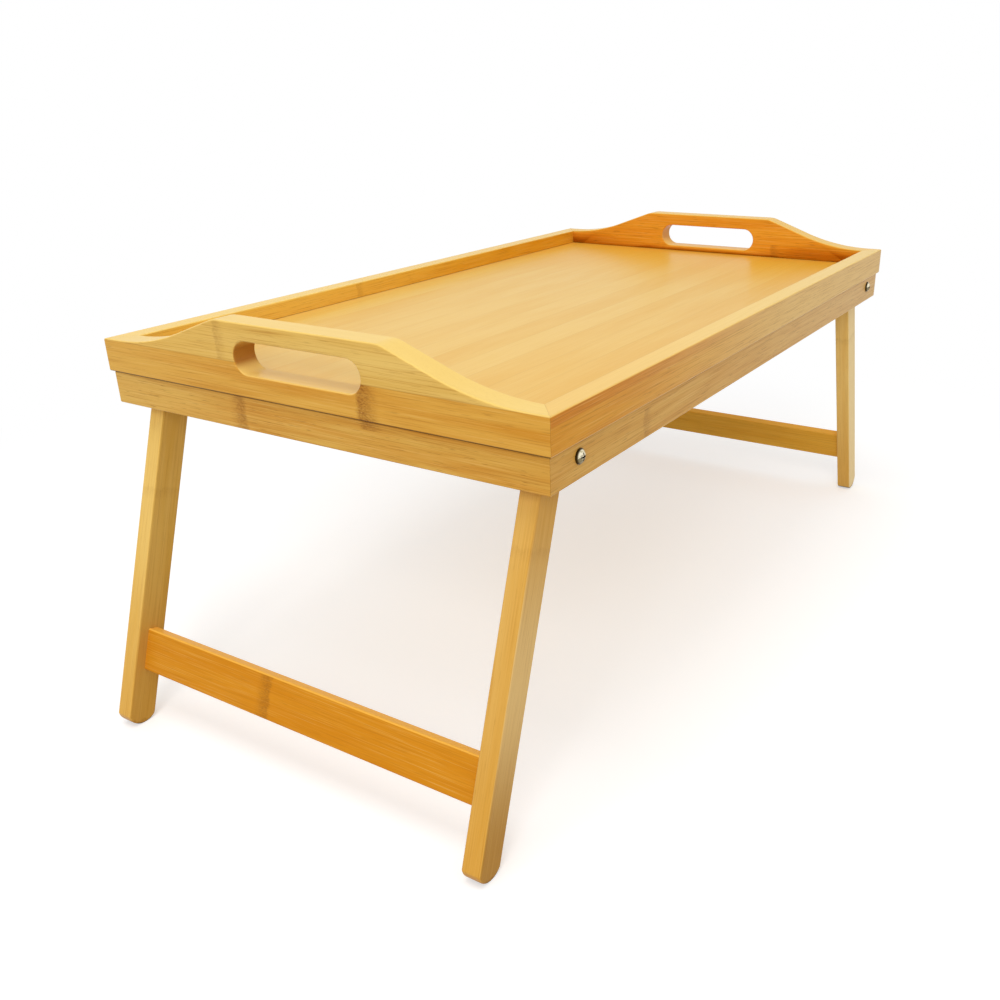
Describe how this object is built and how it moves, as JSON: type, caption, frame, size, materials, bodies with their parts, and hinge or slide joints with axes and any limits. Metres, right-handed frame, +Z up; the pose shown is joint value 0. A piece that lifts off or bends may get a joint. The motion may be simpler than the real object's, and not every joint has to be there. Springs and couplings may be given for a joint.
{
  "type": "bed tray table",
  "caption": "Bamboo bed tray table: mitred tray with raised, slotted handle boards over folding leg frames joined by stretchers.",
  "frame": {"origin": "under the middle of the tray, on the surface that the opened table stands on", "axes": "+X along the tray to its right end, +Y to its back, +Z up"},
  "size_m": [0.6106, 0.3016, 0.2484],
  "materials": {
    "rim_bamboo": "satin lacquered laminated bamboo",
    "panel_bamboo": "satin lacquered bamboo board, pale",
    "apron_bamboo": "satin lacquered bamboo strip",
    "leg_bamboo": "satin lacquered bamboo strip",
    "dowel_wood": "plain hardwood dowel",
    "bolt_steel": "bright nickel plated steel",
    "nut_steel": "zinc plated steel",
    "screw_steel": "yellow zinc plated steel",
    "spacer_plastic": "natural nylon"
  },
  "bodies": {
    "tray": {"apron_corner_dowels": "dowel_wood", "apron_screws": "screw_steel", "end_apron_left": "apron_bamboo", "end_apron_right": "apron_bamboo", "handle_board_left": "rim_bamboo", "handle_board_right": "rim_bamboo", "leg_spacer_back_left": "spacer_plastic", "leg_spacer_back_right": "spacer_plastic", "leg_spacer_front_left": "spacer_plastic", "leg_spacer_front_right": "spacer_plastic", "lock_nut_back_left": "nut_steel", "lock_nut_back_right": "nut_steel", "lock_nut_front_left": "nut_steel", "lock_nut_front_right": "nut_steel", "nut_washer_back_left": "nut_steel", "nut_washer_back_right": "nut_steel", "nut_washer_front_left": "nut_steel", "nut_washer_front_right": "nut_steel", "pivot_bolt_back_left": "bolt_steel", "pivot_bolt_back_right": "bolt_steel", "pivot_bolt_front_left": "bolt_steel", "pivot_bolt_front_right": "bolt_steel", "rim_corner_dowels": "dowel_wood", "side_apron_back": "apron_bamboo", "side_apron_front": "apron_bamboo", "side_rail_back": "rim_bamboo", "side_rail_front": "rim_bamboo", "tray_panel": "panel_bamboo"},
    "left_legs": {"leg_front_left": "leg_bamboo", "leg_back_left": "leg_bamboo", "stretcher_left": "leg_bamboo", "stretcher_dowels_left": "dowel_wood"},
    "right_legs": {"leg_front_right": "leg_bamboo", "leg_back_right": "leg_bamboo", "stretcher_right": "leg_bamboo", "stretcher_dowels_right": "dowel_wood"}
  },
  "joints": [
    {"name": "left_legs_fold", "type": "hinge", "parent": "tray", "child": "left_legs", "pos_m": [-0.22928, 0, 0.20154], "axis": [0, -1, 0], "range_deg": [0, 109]},
    {"name": "right_legs_fold", "type": "hinge", "parent": "tray", "child": "right_legs", "pos_m": [0.22928, 0, 0.20154], "axis": [0, 1, 0], "range_deg": [0, 109]}
  ]
}
